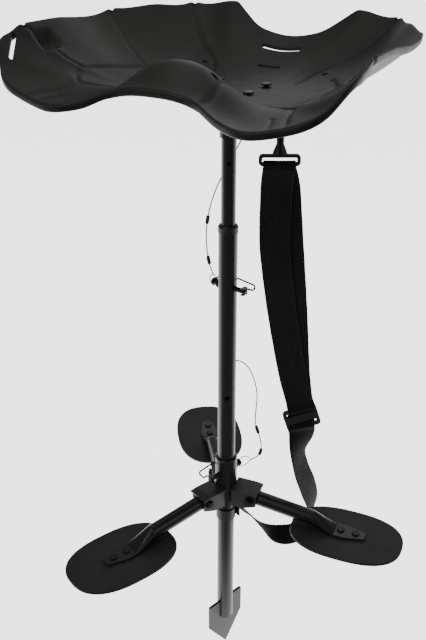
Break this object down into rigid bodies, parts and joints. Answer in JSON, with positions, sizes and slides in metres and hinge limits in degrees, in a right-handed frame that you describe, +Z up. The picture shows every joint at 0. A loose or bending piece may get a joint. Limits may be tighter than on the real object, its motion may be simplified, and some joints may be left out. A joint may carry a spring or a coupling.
{
  "type": "three leg stool",
  "caption": "Field stool with a moulded bucket seat on a telescoping post, ground spike, folding legs with foot pads, bail pins and a carrying strap.",
  "frame": {"origin": "on the post axis at ground level, in the plane of the foot pads' undersides", "axes": "+Z up along the post, the seat's front faces -Y, +X to the sitter's left as seen from the front (right in a front view)"},
  "size_m": [0.4828, 0.4818, 0.9957],
  "materials": {
    "tube_black": "satin black powder coat",
    "hub_black": "satin black powder coat",
    "black_plastic": "moulded, fine texture",
    "fastener_black": "black oxide",
    "pin_black": "black coated steel",
    "cable_steel": "stranded wire",
    "ferrule_black": "shrunk sleeve",
    "webbing": "woven polypropylene",
    "seat_plastic": "olive black moulded plastic with fine grain",
    "pad_grey": "dark grey moulded plastic"
  },
  "bodies": {
    "post": {"outer_tube": "tube_black", "top_bushing": "black_plastic", "ground_blade": "hub_black", "spike_plug": "black_plastic", "hub_sleeve": "tube_black", "hub_bracket_right": "hub_black", "hub_bracket_rear": "hub_black", "hub_bracket_left": "hub_black", "pivot_bolts": "fastener_black", "pivot_nuts": "fastener_black", "upper_pin": "pin_black", "lower_pin": "pin_black", "upper_lanyard": "cable_steel", "upper_ferrules": "ferrule_black", "lower_lanyard": "cable_steel", "lower_ferrules": "ferrule_black", "lanyard_rivet": "fastener_black", "strap_upper": "webbing", "strap_lower": "webbing", "strap_slider": "black_plastic", "strap_clamp": "hub_black"},
    "seat_post": {"inner_glide": "black_plastic", "inner_tube": "tube_black", "seat_socket": "tube_black", "seat_bracket": "hub_black", "seat_shell": "seat_plastic", "seat_bolts": "fastener_black", "seat_nuts": "fastener_black", "lanyard_tab": "hub_black", "strap_anchor": "fastener_black", "strap_hook": "fastener_black", "strap_loop": "fastener_black"},
    "upper_bail": {"upper_bail": "pin_black", "upper_bail_clip": "pin_black"},
    "lower_bail": {"lower_bail": "pin_black", "lower_bail_clip": "pin_black"},
    "leg_right": {"leg_tube_right": "tube_black", "foot_pad_right": "pad_grey", "foot_screws_right": "fastener_black", "foot_nuts_right": "fastener_black"},
    "leg_rear": {"leg_tube_rear": "tube_black", "foot_pad_rear": "pad_grey", "foot_screws_rear": "fastener_black", "foot_nuts_rear": "fastener_black"},
    "leg_left": {"leg_tube_left": "tube_black", "foot_pad_left": "pad_grey", "foot_screws_left": "fastener_black", "foot_nuts_left": "fastener_black"}
  },
  "joints": [
    {"name": "seat_height_slide", "type": "slide", "parent": "post", "child": "seat_post", "axis": [0, 0, 1], "range_m": [0, 0.05]},
    {"name": "leg_right_fold", "type": "hinge", "parent": "post", "child": "leg_right", "pos_m": [0.04177, 0.00439, 0.03], "axis": [-0.1045, 0.9945, 0], "range_deg": [0, 75]},
    {"name": "leg_rear_fold", "type": "hinge", "parent": "post", "child": "leg_rear", "pos_m": [-0.02469, 0.03398, 0.03], "axis": [-0.809, -0.5878, 0], "range_deg": [0, 75]},
    {"name": "leg_left_fold", "type": "hinge", "parent": "post", "child": "leg_left", "pos_m": [-0.01708, -0.03837, 0.03], "axis": [0.9135, -0.4067, 0], "range_deg": [0, 75]},
    {"name": "upper_bail_swing", "type": "hinge", "parent": "post", "child": "upper_bail", "pos_m": [-0.01849, 0.00393, 0.37], "axis": [0, 0, 1], "range_deg": [0, 100]},
    {"name": "lower_bail_swing", "type": "hinge", "parent": "post", "child": "lower_bail", "pos_m": [0.00649, 0.02123, 0.066], "axis": [0, 0, -1], "range_deg": [0, 100]}
  ]
}
